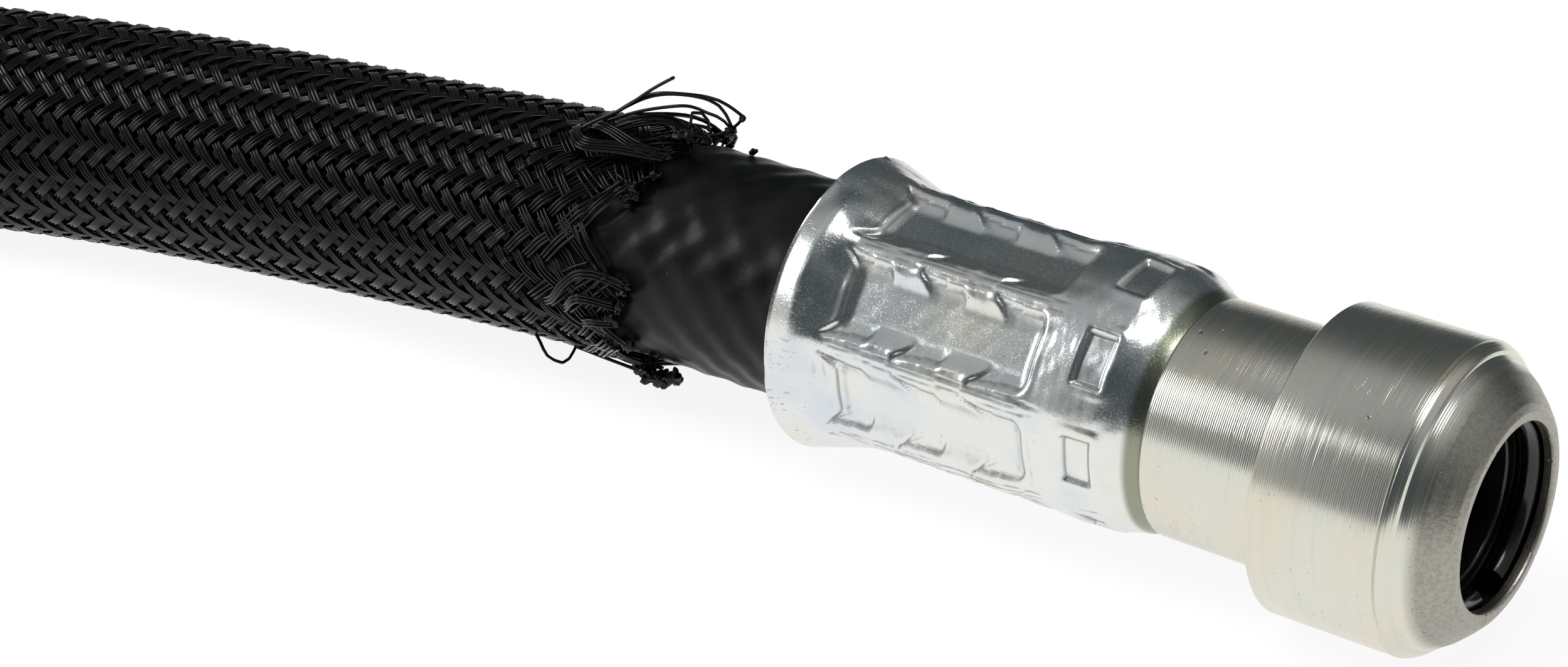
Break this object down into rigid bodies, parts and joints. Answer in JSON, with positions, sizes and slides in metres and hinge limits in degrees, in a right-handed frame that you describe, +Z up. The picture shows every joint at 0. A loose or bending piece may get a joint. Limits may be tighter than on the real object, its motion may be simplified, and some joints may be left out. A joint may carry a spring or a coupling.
{
  "type": "hydraulic hose assembly",
  "caption": "Short rubber hydraulic hose in a black braided sleeve, with a crimped push-in female coupling on each end.",
  "frame": {"origin": "below the middle of the first coupling's length, on the surface that it lies on", "axes": "+X along the first coupling's axis, out of its mouth; +Z up; the hose leaves towards -X"},
  "size_m": [0.5622, 0.192, 0.031],
  "materials": {
    "turned_steel": "fine turned, pale yellow zinc tint",
    "ferrule_zinc": "bright bluish zinc plating, crimped",
    "stem_zinc": "greenish passivated zinc",
    "ring_steel": "glossy black oiled spring steel",
    "guide_steel": "satin",
    "seal_rubber": "oiled",
    "backup_plastic": "satin",
    "liner_rubber": "smooth",
    "wire_steel": "brassed wire braid",
    "cover_rubber": "satin with soft ripples",
    "sleeve_filament": "glossy braided monofilament"
  },
  "bodies": {
    "assembly": {"coupling_body": "turned_steel", "coupling_stem": "stem_zinc", "crimp_ferrule": "ferrule_zinc", "guide_ring": "guide_steel", "seal_o_ring": "seal_rubber", "backup_ring": "backup_plastic", "hose_liner": "liner_rubber", "wire_braid": "wire_steel", "hose_cover": "cover_rubber", "braided_sleeve": "sleeve_filament", "far_coupling_body": "turned_steel", "far_coupling_stem": "stem_zinc", "far_crimp_ferrule": "ferrule_zinc", "far_guide_ring": "guide_steel", "far_seal_o_ring": "seal_rubber", "far_backup_ring": "backup_plastic"},
    "ring": {"retaining_ring": "ring_steel"},
    "far_ring": {"far_retaining_ring": "ring_steel"}
  },
  "joints": [
    {"name": "ring_turn", "type": "hinge", "parent": "assembly", "child": "ring", "pos_m": [0.0346, 0, 0.0155], "axis": [1, 0, 0], "continuous": true},
    {"name": "far_ring_turn", "type": "hinge", "parent": "assembly", "child": "far_ring", "pos_m": [-0.5226, -0.161, 0.0155], "axis": [-1, 0, 0], "continuous": true}
  ]
}
